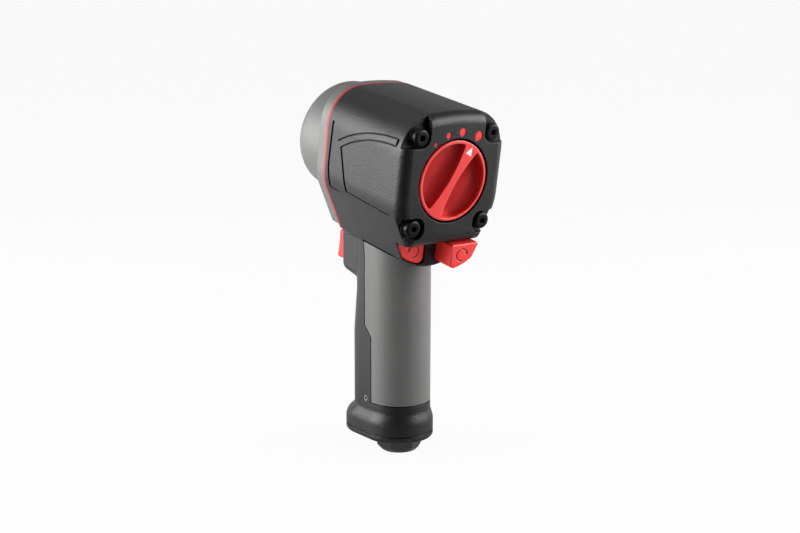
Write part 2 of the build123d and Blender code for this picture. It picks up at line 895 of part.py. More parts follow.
# Power dial
ball_along = dial_recess_floor - detent_rise + detent_ball_radius
oring_along = dial_recess_floor + rear_wall / 2
oring_circle = dial_stem_radius - dial_oring_wire
with BuildPart() as power_dial:
    tube(head_back, dial_back, dial_radius)
    fillet(power_dial.faces().sort_by(drive_axis)[0].edges(), dial_edge_round)
    tube(dial_back, bay_back, dial_stem_radius)
    add(dial_scoops.part, mode=Mode.SUBTRACT)
    tube(bay_back - screw_length, bay_back, screw_radius + seat_gap, mode=Mode.SUBTRACT)
    drive_ring(ball_along, detent_circle, detent_ball_radius + detent_track_gap, mode=Mode.SUBTRACT)
    drive_ring(oring_along, oring_circle, dial_oring_wire + seat_gap, mode=Mode.SUBTRACT)
    with BuildSketch(dial_plane(head_back + inlay_depth)):
        pointer_face(0)
    extrude(amount=2 * inlay_depth, mode=Mode.SUBTRACT)

finish(power_dial, "power_dial")

with BuildPart() as dial_pointer:
    with BuildSketch(dial_plane(head_back + inlay_depth)):
        pointer_face(seat_gap)
    extrude(amount=inlay_depth)

finish(dial_pointer, "dial_pointer")

with BuildPart() as setting_marks:
    with BuildSketch(rear_view(head_back + mark_recess)):
        mark_faces(seat_gap)
    extrude(amount=mark_thickness)

finish(setting_marks, "setting_marks")

with BuildPart() as dial_oring:
    drive_ring(oring_along, oring_circle, dial_oring_wire)

finish(dial_oring, "dial_oring")

# Air regulator on the dial's stem: one port for each setting
with BuildPart() as regulator_valve:
    tube(bay_back, regulator_back, dial_stem_radius)
    tube(regulator_back, regulator_front, regulator_radius)
    with BuildSketch(rear_view(regulator_front)):
        for angle, bulb in zip(mark_angles, mark_bulbs):
            turn = radians(angle)
            with Locations((regulator_port_circle * sin(turn), regulator_port_circle * cos(turn))):
                Circle(bulb / 2)
    extrude(amount=regulator_thickness, mode=Mode.SUBTRACT)
    with BuildSketch(profile):
        with BuildLine():
            Polyline(
                (bay_back, 0),
                (bay_back, screw_radius + seat_gap),
                (regulator_back, screw_radius + seat_gap),
                (regulator_front, screw_head_radius + seat_gap),
                (regulator_front, 0),
                close=True,
            )
        make_face()
    revolve(axis=drive_axis, mode=Mode.SUBTRACT)

finish(regulator_valve, "regulator_valve")

with BuildPart() as dial_screw:
    with BuildSketch(profile):
        with BuildLine():
            Polyline(
                (bay_back - screw_length + free_gap, 0),
                (bay_back - screw_length + free_gap, screw_radius),
                (regulator_back, screw_radius),
                (regulator_front, screw_head_radius),
                (regulator_front, 0),
                close=True,
            )
        make_face()
    revolve(axis=drive_axis)
    with BuildSketch(station(regulator_front - regulator_thickness / 2)):
        Rectangle(screw_head_radius, screw_slot_width)
    extrude(amount=regulator_thickness, mode=Mode.SUBTRACT)

finish(dial_screw, "dial_screw")

with BuildPart() as detent_ball:
    with Locations(head_point(0, ball_along, -detent_circle)):
        Sphere(detent_ball_radius)

finish(detent_ball, "detent_ball")

spring_start = ball_along + detent_ball_radius
with BuildPart() as detent_spring:
    with BuildSketch(station(spring_start)):
        with Locations((0, -detent_circle)):
            Circle(detent_ball_radius - running_gap)
            Circle(detent_ball_radius / 2, mode=Mode.SUBTRACT)
    extrude(amount=detent_spring_length)

finish(detent_spring, "detent_spring")


def tooth_half_width(radius):
    # Half the width of an involute tooth of the pinion at a radius
    base = pinion_radius * cos(radians(pressure_angle))
    at_pitch = tan(radians(pressure_angle)) - radians(pressure_angle)
    here = acos(min(1.0, base / radius))
    half_angle = (rack_pitch / 2 - tooth_backlash) / (2 * pinion_radius)
    return radius * (half_angle + at_pitch - tan(here) + here)


def make_reverse_button(side, shift):
    # Button head, guide bar and rack: the side is -1 or 1, and the shift is along the drive axis
    face = button_face_in + shift
    head_end = face + button_depth
    near_side = Align.MIN if side > 0 else Align.MAX
    with BuildPart() as button:
        with BuildSketch(rear_view(head_end)) as head_face:
            button_face(button_inset, 0, side)
            low_corners = head_face.vertices().filter_by_position(Axis.Y, -beyond, button_top - button_corner)
            fillet(low_corners, button_corner)
            fillet(head_face.vertices().group_by(Axis.Y)[-1], button_top_corner)
        extrude(head_face.sketch, amount=button_depth)
        fillet(button.faces().sort_by(drive_axis)[0].edges(), button_edge_round)
        with BuildSketch(level(rack_bottom)) as bar:
            with Locations((side * rack_root, rack_front + shift)):
                Rectangle(rack_width, rack_front + shift - head_end, align=(near_side, Align.MAX))
            slope = tooth_height * tan(radians(pressure_angle))
            tip_half = (rack_pitch / 2 - tooth_backlash) / 2 - slope
            root_half = tip_half + (rack_root - rack_tip) * tan(radians(pressure_angle))
            first = pinion_along + rack_pitch / 2 - rack_pitch + shift
            for number in range(travel_teeth + 2):
                middle = first + number * rack_pitch
                with BuildLine() as tooth:
                    Polyline(
                        (side * rack_root, middle - root_half),
                        (side * rack_tip, middle - tip_half),
                        (side * rack_tip, middle + tip_half),
                        (side * rack_root, middle + root_half),
                        close=True,
                    )
                make_face(tooth.edges())
        extrude(bar.sketch, amount=rack_height)
        with BuildSketch(rear_view(face + arrow_depth)) as arrow:
            centre = (side * arrow_across, arrow_above)
            start = 90 - side * arrow_start
            with BuildLine() as curve:
                CenterArc(centre, arrow_radius, start, side * arrow_sweep)
            trace(curve.edges(), arrow_width)
            with BuildLine() as arrow_head:
                out_x = cos(radians(start))
                out_y = sin(radians(start))
                near = arrow_radius - arrow_head_width / 2
                far = arrow_radius + arrow_head_width / 2
                Polyline(
                    (centre[0] + near * out_x, centre[1] + near * out_y),
                    (centre[0] + far * out_x, centre[1] + far * out_y),
                    (
                        centre[0] + arrow_radius * out_x + side * arrow_head_length * out_y,
                        centre[1] + arrow_radius * out_y - side * arrow_head_length * out_x,
                    ),
                    close=True,
                )
            make_face(arrow_head.edges())
        extrude(arrow.sketch, amount=2 * arrow_depth, mode=Mode.SUBTRACT)
    return button


reverse_button_left = make_reverse_button(-1, 0)
finish(reverse_button_left, "reverse_button_left")
reverse_button_right = make_reverse_button(1, -button_travel)
finish(reverse_button_right, "reverse_button_right")


def turned(out, half, turn):
    # Corner of a tooth of the pinion, turned about the pinion's axis
    return (out * cos(turn) - half * sin(turn), pinion_along + out * sin(turn) + half * cos(turn))


# Reverse valve: pinion below, rotary air valve with two ports above
with BuildPart() as reverse_valve:
    with BuildSketch(level(rack_bottom)):
        root = pinion_radius - tooth_height - tooth_clearance
        tip = pinion_radius + tooth_height
        with Locations((0, pinion_along)):
            Circle(root)
        for number in range(pinion_teeth):
            turn = 2 * pi * number / pinion_teeth
            flank = (
                (root - tooth_clearance, tooth_half_width(pinion_radius)),
                (pinion_radius, tooth_half_width(pinion_radius)),
                (tip, tooth_half_width(tip)),
            )
            corners = [(out, -half) for out, half in flank] + list(reversed(flank))
            with BuildLine() as tooth:
                Polyline(*[turned(out, half, turn) for out, half in corners], close=True)
            make_face(tooth.edges())
    extrude(amount=rack_height)
    valve_bottom = rack_bottom + rack_height
    with BuildSketch(level(valve_bottom)):
        with Locations((0, pinion_along)):
            Circle(reverse_bore - running_gap)
    extrude(amount=reverse_valve_top - valve_bottom)
    with BuildSketch(level(valve_bottom + free_gap)):
        for side in (-1, 1):
            with Locations((side * reverse_bore, pinion_along)):
                Rectangle(reverse_port_width, reverse_port_width)
    extrude(amount=reverse_valve_top - valve_bottom, mode=Mode.SUBTRACT)

finish(reverse_valve, "reverse_valve")


def push_rod(start, end, radius, mode=Mode.ADD):
    # Round bar along Y at the height of the trigger rod
    with BuildSketch(Plane.XZ.offset(-start)) as face:
        with Locations((0, rod_height)):
            Circle(radius)
    extrude(face.sketch, amount=start - end, mode=mode)


# Trigger and its rod
rod_end = trigger_back + trigger_rod_grip
with BuildPart() as trigger:
    with BuildSketch(Plane.YZ) as trigger_side:
        with BuildLine():
            Polyline(
                (trigger_front_low, trigger_bottom),
                (trigger_back, trigger_bottom),
                (trigger_back, trigger_top),
                (trigger_front_top, trigger_top),
            )
            hollow = (
                (trigger_front_top + trigger_front_low) / 2 - trigger_hollow,
                (trigger_top + trigger_bottom) / 2,
            )
            ThreePointArc((trigger_front_top, trigger_top), hollow, (trigger_front_low, trigger_bottom))
        make_face()
        fillet(trigger_side.vertices().group_by(Axis.Y, tol_digits=1)[-2:], trigger_corner)
    extrude(amount=trigger_half_width, both=True)
    sides = trigger.faces().filter_by(Axis.X)
    front_edges = sides.edges().filter_by(lambda edge: edge.center().Y > boss_front)
    fillet(front_edges, trigger_corner)
    push_rod(trigger_back, rod_end, trigger_rod_radius, mode=Mode.SUBTRACT)

finish(trigger, "trigger")

rod_start = throttle_stem_radius + free_gap
with BuildPart() as trigger_rod:
    push_rod(rod_start, rod_start + trigger_rod_tip_length, trigger_rod_tip_radius)
    fillet(trigger_rod.faces().sort_by(Axis.Y)[0].edges(), trigger_rod_tip_radius / 2)
    push_rod(rod_start + trigger_rod_tip_length, rod_end - seat_gap, trigger_rod_radius - seat_gap)

finish(trigger_rod, "trigger_rod")

# Throttle: a disc under its seat, tilted open by the rod at the stem
with BuildPart() as throttle_valve:
    riser(seat_bottom - throttle_disc_height, seat_bottom, throttle_disc_radius)
    riser(seat_bottom, stem_top, throttle_stem_radius)
    fillet(throttle_valve.faces().sort_by(Axis.Z)[-1].edges(), throttle_stem_radius / 2)

finish(throttle_valve, "throttle_valve")

with BuildPart() as throttle_seat:
    riser(seat_bottom, seat_bottom + throttle_seat_height, inlet_radius - seat_gap, throttle_seat_bore)

finish(throttle_seat, "throttle_seat")

with BuildPart() as throttle_spring:
    spring_inner = throttle_spring_radius - throttle_spring_wire
    spring_outer = throttle_spring_radius + throttle_spring_wire
    riser(spring_bottom, seat_bottom - throttle_disc_height, spring_outer, spring_inner)

finish(throttle_spring, "throttle_spring")

# Inlet bushing, its seal and its screen
oring_seat = inlet_radius - inlet_oring_wire
with BuildPart() as inlet_bushing:
    with BuildSketch(Plane.XY):
        RegularPolygon(hex_across_flats / 2, 6, major_radius=False, rotation=30)
    extrude(amount=hex_height)
    # Corners of the hexagon, turned off at 45 degrees
    hex_mouth = hex_across_flats / 2 - hex_chamfer
    with BuildSketch(Plane.XZ):
        with BuildLine():
            Polyline(
                (0, 0),
                (hex_mouth, 0),
                (hex_mouth + hex_height, hex_height),
                (0, hex_height),
                close=True,
            )
        make_face()
    revolve(axis=Axis.Z, mode=Mode.INTERSECT)
    riser(hex_height, bushing_top, inlet_radius - seat_gap)
    groove_bottom = pin_along - pin_radius - flat_gap
    pin_reach = pin_radius + flat_gap
    groove_low_end = pin_height - pin_reach
    riser(groove_low_end, pin_height + pin_reach, 2 * inlet_radius, groove_bottom, mode=Mode.SUBTRACT)
    with BuildSketch(Plane.YZ) as seal_groove:
        with Locations((oring_seat, inlet_oring_height)):
            Circle(inlet_oring_wire + seat_gap)
    revolve(axis=Axis.Z, mode=Mode.SUBTRACT)
    riser(0, bushing_thread_depth, bushing_thread_radius, mode=Mode.SUBTRACT)
    riser(bushing_thread_depth, bushing_top, bushing_bore, mode=Mode.SUBTRACT)

finish(inlet_bushing, "inlet_bushing")

with BuildPart() as inlet_oring:
    with BuildSketch(Plane.YZ):
        with Locations((oring_seat - seat_gap, inlet_oring_height)):
            Circle(inlet_oring_wire)
    revolve(axis=Axis.Z)

finish(inlet_oring, "inlet_oring")

with BuildPart() as inlet_screen:
    riser(bushing_top, bushing_top + screen_thickness, inlet_radius - seat_gap)
    with BuildSketch(Plane.XY.offset(bushing_top)):
        with HexLocations(screen_pitch / 2, screen_rows, screen_rows):
            Circle(screen_hole)
    extrude(amount=screen_thickness, mode=Mode.SUBTRACT)

finish(inlet_screen, "inlet_screen")

# Retaining pin through the handle, in the groove of the bushing
with BuildPart() as retaining_pin:
    with BuildSketch(Plane.YZ):
        with Locations((pin_along, pin_height)):
            Circle(pin_radius)
            Circle(pin_bore, mode=Mode.SUBTRACT)
    extrude(amount=handle_half_width - pin_inset, both=True)

finish(retaining_pin, "retaining_pin")

# Base plate and muffler
with BuildPart() as base_plate:
    with BuildSketch(Plane.XY.offset(hex_height)):
        foot_outline()
    extrude(amount=plate_thickness)
    fillet(base_plate.faces().sort_by(Axis.Z)[0].edges(), plate_round)
    with BuildSketch(Plane.XY.offset(foot_seam - seam_groove_height)):
        foot_outline()
        foot_outline(inset=seam_groove_depth, mode=Mode.SUBTRACT)
    extrude(amount=seam_groove_height, mode=Mode.SUBTRACT)
    riser(hex_height, foot_seam, inlet_radius + seat_gap, mode=Mode.SUBTRACT)
    with BuildSketch(Plane.XY.offset(hex_height)):
        for number in range(plate_slot_count):
            with Locations((0, plate_slot_first + number * plate_slot_pitch)):
                SlotOverall(plate_slot_length, plate_slot_width)
    extrude(amount=plate_thickness, mode=Mode.SUBTRACT)

finish(base_plate, "base_plate")

with BuildPart() as muffler:
    with BuildSketch(Plane.XY.offset(foot_seam)):
        foot_outline(inset=foot_wall + flat_gap)
        with Locations((0, muffler_back + flat_gap)):
            Rectangle(beyond, beyond, align=(Align.CENTER, Align.MIN), mode=Mode.INTERSECT)
    extrude(amount=muffler_height - flat_gap)

finish(muffler, "muffler")

# Air motor
with BuildPart() as motor_cylinder:
    tube(cylinder_back, cylinder_front, motor_radius)
    with BuildSketch(station(cylinder_back)):
        with Locations((0, cylinder_offset)):
            Circle(cylinder_bore)
        with Locations((0, dowel_above)):
            Circle(dowel_radius + seat_gap)
    extrude(amount=cylinder_length, mode=Mode.SUBTRACT)
    with BuildSketch(level(0)):
        with Locations((0, (cylinder_back + cylinder_front) / 2)):
            with GridLocations(0, cylinder_port_pitch, 1, cylinder_port_count):
                Circle(cylinder_port)
    extrude(amount=2 * motor_radius, mode=Mode.SUBTRACT)

finish(motor_cylinder, "motor_cylinder")


def end_plate(start, end, bearing_start, bearing_radius, shaft):
    tube(start, end, motor_radius)
    tube(start, end, shaft + 2 * free_gap, mode=Mode.SUBTRACT)
    tube(*bearing_start, bearing_radius + seat_gap, mode=Mode.SUBTRACT)
    with BuildSketch(station(start)) as dowel_hole:
        with Locations((0, dowel_above)):
            Circle(dowel_radius + seat_gap)
    extrude(dowel_hole.sketch, amount=end - start, mode=Mode.SUBTRACT)


rear_bearing_end = rear_plate_back + rear_bearing_width
front_bearing_start = front_plate_front - front_bearing_width
with BuildPart() as rear_end_plate:
    end_plate(
        rear_plate_back,
        cylinder_back,
        (rear_plate_back, rear_bearing_end),
        rear_bearing_radius,
        rotor_rear_shaft,
    )

finish(rear_end_plate, "rear_end_plate")

with BuildPart() as front_end_plate:
    end_plate(
        cylinder_front,
        front_plate_front,
        (front_bearing_start, front_plate_front),
        front_bearing_radius,
        rotor_front_shaft,
    )

finish(front_end_plate, "front_end_plate")

with BuildPart() as cylinder_dowel:
    with BuildSketch(station(rear_plate_back)):
        with Locations((0, dowel_above)):
            Circle(dowel_radius)
    extrude(amount=front_plate_front - rear_plate_back)

finish(cylinder_dowel, "cylinder_dowel")

with BuildPart() as rotor:
    tube(cylinder_back + flat_gap, cylinder_front - flat_gap, rotor_radius)
    tube(rear_plate_back, cylinder_front, rotor_rear_shaft)
    tube(cylinder_back + flat_gap, front_plate_front, rotor_front_shaft)
    with BuildSketch(station(front_plate_front)):
        RegularPolygon(rotor_hex / 2, 6, major_radius=False)
    extrude(amount=cage_back - front_plate_front)
    slot_bottom = rotor_radius - vane_height - flat_gap
    with BuildSketch(station(cylinder_back + flat_gap)):
        with PolarLocations(slot_bottom, vane_count):
            Rectangle(beyond, vane_thickness + flat_gap, align=(Align.MIN, Align.CENTER))
    extrude(amount=cylinder_length - 2 * flat_gap, mode=Mode.SUBTRACT)

finish(rotor, "rotor")

with BuildPart() as rotor_vanes:
    with BuildSketch(station(cylinder_back + flat_gap)):
        with PolarLocations(slot_bottom + flat_gap / 2, vane_count):
            Rectangle(vane_height, vane_thickness, align=(Align.MIN, Align.CENTER))
    extrude(amount=cylinder_length - 2 * flat_gap)

finish(rotor_vanes, "rotor_vanes")


def make_bearing(name, start, width, outer, inner, ball):
    # Outer race, inner race and balls of a deep-groove bearing on the drive axis
    pitch = (outer + inner) / 2
    middle = start + width / 2
    for race, low, high in (
        ("outer_race", pitch + bearing_land, outer),
        ("inner_race", inner + seat_gap, pitch - bearing_land),
    ):
        with BuildPart() as ring:
            with BuildSketch(profile):
                with Locations((middle, (low + high) / 2)):
                    Rectangle(width, high - low)
                with Locations((middle, pitch)):
                    Circle(ball + running_gap, mode=Mode.SUBTRACT)
            revolve(axis=drive_axis)
        finish(ring, f"{name}_{race}")
    with BuildPart() as balls:
        with Locations(station(middle)):
            with PolarLocations(pitch, bearing_ball_count):
                Sphere(ball)
    finish(balls, f"{name}_balls")


make_bearing(
    "rear_bearing",
    rear_plate_back,
    rear_bearing_width,
    rear_bearing_radius,
    rotor_rear_shaft,
    rear_ball_radius,
)
make_bearing(
    "front_bearing",
    front_bearing_start,
    front_bearing_width,
    front_bearing_radius,
    rotor_front_shaft,
    front_ball_radius,
)

# Hammer cage, driven by the rotor's hexagon
cage_pin_places = ((0, hammer_pin_offset), (0, -hammer_pin_offset))
with BuildPart() as hammer_cage:
    tube(front_plate_front + free_gap, cage_back, cage_hub_radius)
    tube(cage_back, cage_back + cage_plate, cage_radius)
    with BuildSketch(station(cage_back)):
        Circle(cage_radius)
        Circle(cage_radius - cage_web, mode=Mode.SUBTRACT)
        Rectangle(2 * cage_web_half_width, beyond, mode=Mode.INTERSECT)
    extrude(amount=cage_length)
    tube(cage_front - cage_front_plate, cage_front, cage_radius, cage_front_hole)
    with BuildSketch(station(front_plate_front)):
        RegularPolygon(rotor_hex / 2 + seat_gap, 6, major_radius=False)
    extrude(amount=cage_back - front_plate_front, mode=Mode.SUBTRACT)
    tube(cage_back, cage_back + cage_plate, anvil_pilot_radius + running_gap, mode=Mode.SUBTRACT)
    with BuildSketch(station(cage_back)):
        with Locations(*cage_pin_places):
            Circle(hammer_pin_radius + seat_gap)
    extrude(amount=cage_length, mode=Mode.SUBTRACT)

finish(hammer_cage, "hammer_cage")

with BuildPart() as hammer_pins:
    with BuildSketch(station(cage_back)):
        with Locations(*cage_pin_places):
            Circle(hammer_pin_radius)
    extrude(amount=cage_length)

finish(hammer_pins, "hammer_pins")


def wedge(radius, half_angle, middle):
    # Sector of a circle about the drive axis
    reach = 2 * radius
    left = radians(middle + half_angle)
    right = radians(middle - half_angle)
    with BuildLine() as outline:
        Polyline(
            (0, 0),
            (reach * cos(right), reach * sin(right)),
            (reach * cos(left), reach * sin(left)),
            close=True,
        )
    make_face(outline.edges())


# Hammer: rocks on the upper pin, with a slot for the lower pin
rock_reach = 2 * hammer_pin_offset * sin(radians(hammer_rock))
slot_half = hammer_pin_radius + free_gap
with BuildPart() as hammer:
    tube(hammer_back, hammer_front, hammer_radius, hammer_bore)
    for middle in (90, -90):
        with BuildSketch(station(hammer_back)):
            wedge(hammer_radius, hammer_lug_half_angle, middle)
            Circle(hammer_bore + seat_gap, mode=Mode.INTERSECT)
            Circle(hammer_lug_radius, mode=Mode.SUBTRACT)
        extrude(amount=hammer_front - hammer_back)
    with BuildSketch(station(hammer_back)):
        with Locations((0, hammer_pin_offset)):
            Circle(hammer_pin_radius + running_gap)
        with Locations((-rock_reach / 2, -hammer_pin_offset)):
            SlotCenterToCenter(rock_reach, 2 * slot_half)
    extrude(amount=hammer_front - hammer_back, mode=Mode.SUBTRACT)

finish(hammer, "hammer")

# Anvil with the square drive
anvil_back = cage_back + cage_plate
collar_back = cage_front + free_gap
with BuildPart() as anvil:
    tube(anvil_back - anvil_pilot_length, anvil_back + free_gap, anvil_pilot_radius)
    tube(anvil_back + free_gap, nose_front + free_gap, anvil_core)
    for middle in (0, 180):
        with BuildSketch(station(hammer_back)):
            wedge(anvil_jaw_radius, anvil_jaw_half_angle, middle)
            Circle(anvil_jaw_radius, mode=Mode.INTERSECT)
        extrude(amount=hammer_front - hammer_back)
    tube(collar_back, cavity_front - free_gap, anvil_collar_radius)
    tube(collar_back, nose_front + free_gap, anvil_shaft_radius)
    with BuildSketch(station(nose_front)):
        RectangleRounded(square_drive, square_drive, square_corner)
    extrude(amount=square_length)
    chamfer(anvil.faces().sort_by(drive_axis)[-1].edges(), square_corner / 2)
    tube(ring_front - ring_width, ring_front, beyond, ring_groove_radius, mode=Mode.SUBTRACT)

finish(anvil, "anvil")

with BuildPart() as front_bushing:
    tube(cavity_front, nose_front, front_bushing_radius, anvil_shaft_radius + running_gap)

finish(front_bushing, "front_bushing")

# Socket ring and the ring of rubber that springs it
with BuildPart() as socket_ring:
    tube(ring_front - ring_width + seat_gap, ring_front - seat_gap, socket_ring_outer, socket_ring_inner)
    with BuildSketch(station(ring_front - ring_width)):
        with Locations((0, socket_ring_outer)):
            Rectangle(socket_ring_slot, socket_ring_outer)
    extrude(amount=ring_width, mode=Mode.SUBTRACT)

finish(socket_ring, "socket_ring")

with BuildPart() as socket_ring_oring:
    socket_oring_circle = ring_groove_radius + seat_gap + socket_oring_wire
    drive_ring(ring_front - ring_width / 2, socket_oring_circle, socket_oring_wire)

finish(socket_ring_oring, "socket_ring_oring")
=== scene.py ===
import json
from math import pi, radians

import bpy
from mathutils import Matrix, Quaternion, Vector


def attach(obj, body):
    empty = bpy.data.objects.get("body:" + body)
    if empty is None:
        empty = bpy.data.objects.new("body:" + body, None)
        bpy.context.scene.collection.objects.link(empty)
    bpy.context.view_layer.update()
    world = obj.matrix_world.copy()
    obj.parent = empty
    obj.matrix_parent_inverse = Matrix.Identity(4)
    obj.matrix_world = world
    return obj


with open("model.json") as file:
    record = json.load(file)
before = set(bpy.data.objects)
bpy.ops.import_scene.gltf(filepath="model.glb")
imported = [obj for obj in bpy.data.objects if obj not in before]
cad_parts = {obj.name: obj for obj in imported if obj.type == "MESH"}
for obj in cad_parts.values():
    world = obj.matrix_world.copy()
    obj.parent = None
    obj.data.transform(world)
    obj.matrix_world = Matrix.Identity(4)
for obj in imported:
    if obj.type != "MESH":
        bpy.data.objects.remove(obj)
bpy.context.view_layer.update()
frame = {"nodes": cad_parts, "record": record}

# Lengths and places are in metres, lamp powers in watts, and the camera's lens and sensor in millimetres

# Camera
CAMERA_PLACE = Vector((-0.42926, -0.57524, 0.24517))
CAMERA_AIM = Vector((0.0, -0.000544, 0.09668))
CAMERA_ROLL = radians(0.122)
CAMERA_LENS = 64.63
CAMERA_SENSOR = 36.0
CAMERA_CLIP = 0.02

# Stage: the level direction from the camera to the tool, and the point that the lamps face
LOOK_AHEAD = (0.598, 0.801, 0.0)
LAMP_AIM = (0.0, 0.0, 0.11)

# Room: its strength on the camera's side and ahead, and how it dims with height
ROOM_DARK_END = -0.3
ROOM_PALE_START = 0.5
ROOM_DARK = 0.05
ROOM_PALE = 0.75
ROOM_LOW_END = 0.15
ROOM_HIGH_START = 0.55
ROOM_HIGH_SHARE = 0.3

# Floor: its glow for the camera, and how its reflection fades on the camera's side
FLOOR_SIZE = 40.0
FLOOR_GLOW = 0.94
FLOOR_DARK_END = -0.12
FLOOR_PALE_START = 0.22
FLOOR_DARK_SHARE = 0.03

# Edges and corners: how far the softened normal agrees with the true one where the lighter edge colour
# (wear, and on the red pieces partly a painted highlight) starts and is full, and the open share around a
# point where the painted shade of a corner starts and is full
WEAR_AND_HIGHLIGHT_START = 0.995
WEAR_AND_HIGHLIGHT_FULL = 0.86
PAINTED_SHADE_START = 0.68
PAINTED_SHADE_FULL = 0.3

# Relief of the moulded grain and of the tool lines, and the reach of the painted shade in metal bores
GRAIN_HEIGHT = 0.00012
TOOL_LINE_HEIGHT = 0.00006
BORE_REACH = 0.004

# Drive axis, how far along it from the origin the face of the dial lies,
# and the depths below that face where the painted shade in its hollows starts and is full
DRIVE_AXIS = (0.0, 0.98769, 0.15643)
DIAL_FACE = -0.01994
HOLLOW_START = 0.0002
HOLLOW_FULL = 0.0018

# Female thread of the air inlet
THREAD_RADIUS = 0.00572
THREAD_RIDGE = 0.00042
THREAD_PITCH = 0.00134
THREAD_START = 0.0016
THREAD_TURNS = 8
THREAD_SIDES = 3
THREAD_STEPS = 48
MERGE_REACH = 0.000001
SMOOTH_ANGLE = radians(35)

# Colours that several finishes share
WHITE = (1, 1, 1, 1)
PAPER_WHITE = (0.8, 0.8, 0.8, 1)
# Painted shade for the corners and bores of metal pieces
BORE_PAINTED_SHADE = (0.008, 0.008, 0.008)
# Lighter edge colour of the red pieces: partly wear, partly a painted highlight on rounded rims
RED_WEAR_AND_HIGHLIGHT = (0.90, 0.20, 0.17)
# Painted shade for the corners and hollows of the red pieces
RED_PAINTED_SHADE = (0.28, 0.002, 0.005)
RED = {"dark": (0.84, 0.022, 0.022), "light": (0.93, 0.036, 0.034), "worn": RED_WEAR_AND_HIGHLIGHT, "crevice": RED_PAINTED_SHADE}


def deselect_all():
    bpy.ops.object.select_all(action="DESELECT")


def make_group(name, inputs, outputs):
    """An empty shader group with number inputs, and its two end nodes."""
    group = bpy.data.node_groups.new(name, "ShaderNodeTree")
    for label, value in inputs:
        socket = group.interface.new_socket(label, in_out="INPUT", socket_type="NodeSocketFloat")
        socket.default_value = value
    for label, kind in outputs:
        group.interface.new_socket(label, in_out="OUTPUT", socket_type=kind)
    return group, group.nodes.new("NodeGroupInput"), group.nodes.new("NodeGroupOutput")


def put(tree, kind, settings=None, values=None):
    """A node with its settings and the values of its sockets."""
    node = tree.nodes.new(kind)
    for key, value in (settings or {}).items():
        setattr(node, key, value)
    for key, value in (values or {}).items():
        node.inputs[key].default_value = value
    return node


def use(tree, group, values=None):
    """A shared effect placed in a material, with the material's own values."""
    return put(tree, "ShaderNodeGroup", {"node_tree": group}, values)


def sum_of(tree, first, second, share):
    """First plus a share of second."""
    node = put(tree, "ShaderNodeMath", {"operation": "MULTIPLY_ADD"})
    tree.links.new(second, node.inputs[0])
    node.inputs[1].default_value = share
    tree.links.new(first, node.inputs[2])
    return node.outputs[0]


def larger_of(tree, first, second):
    node = put(tree, "ShaderNodeMath", {"operation": "MAXIMUM"})
    tree.links.new(first, node.inputs[0])
    tree.links.new(second, node.inputs[1])
    return node.outputs[0]


def distance_along(tree, place, axis):
    """How far a place lies along an axis from the origin."""
    node = put(tree, "ShaderNodeVectorMath", {"operation": "DOT_PRODUCT"})
    tree.links.new(place, node.inputs[0])
    node.inputs[1].default_value = axis
    return node.outputs["Value"]


def spread(tree, value, low=0.0, high=1.0, start=0.0, full=1.0):
    """A value between start and full, spread between low and high."""
    limits = {"From Min": start, "From Max": full, "To Min": low, "To Max": high}
    node = put(tree, "ShaderNodeMapRange", None, limits)
    tree.links.new(value, node.inputs["Value"])
    return node.outputs["Result"]


def blend_colours(tree, share, first, second):
    """Mixes two colours, or what makes them, by a mask."""
    node = put(tree, "ShaderNodeMix", {"data_type": "RGBA"})
    tree.links.new(share, node.inputs["Factor"])
    for socket, colour in ((node.inputs[6], first), (node.inputs[7], second)):
        if isinstance(colour, tuple):
            socket.default_value = (*colour, 1.0)
        else:
            tree.links.new(colour, socket)
    return node.outputs[2]


# Shared effects

def make_moulded_grain():
    """Fine eroded grain of a moulding tool: a height for bump and a fleck for colour."""
    pit_share = 0.6
    group, start, end = make_group(
        "moulded_grain",
        [("Scale", 1800.0)],
        [("Height", "NodeSocketFloat"), ("Fleck", "NodeSocketFloat")],
    )
    place = put(group, "ShaderNodeTexCoord")
    coarse = put(group, "ShaderNodeTexNoise", None, {"Detail": 3.0, "Roughness": 0.62})
    pits = put(group, "ShaderNodeTexVoronoi", {"feature": "SMOOTH_F1"}, {"Smoothness": 0.4})
    for texture in (coarse, pits):
        group.links.new(place.outputs["Object"], texture.inputs["Vector"])
        group.links.new(start.outputs["Scale"], texture.inputs["Scale"])
    height = sum_of(group, coarse.outputs["Fac"], pits.outputs["Distance"], pit_share)
    group.links.new(height, end.inputs["Height"])
    group.links.new(coarse.outputs["Fac"], end.inputs["Fleck"])
    return group


def make_handling():
    """Slow change of tone from handling, with faint smudges."""
    smudge_share = 0.35
    group, start, end = make_group("handling", [("Scale", 40.0)], [("Tone", "NodeSocketFloat")])
    place = put(group, "ShaderNodeTexCoord")
    slow = put(group, "ShaderNodeTexNoise", None, {"Detail": 2.0, "Roughness": 0.5, "Distortion": 0.6})
    group.links.new(start.outputs["Scale"], slow.inputs["Scale"])
    smudge = put(group, "ShaderNodeTexNoise", None, {"Scale": 310.0, "Detail": 4.0, "Roughness": 0.7})
    for texture in (slow, smudge):
        group.links.new(place.outputs["Object"], texture.inputs["Vector"])
    tone = sum_of(group, slow.outputs["Fac"], smudge.outputs["Fac"], smudge_share)
    group.links.new(spread(group, tone, -smudge_share, 1.0), end.inputs["Tone"])
    return group


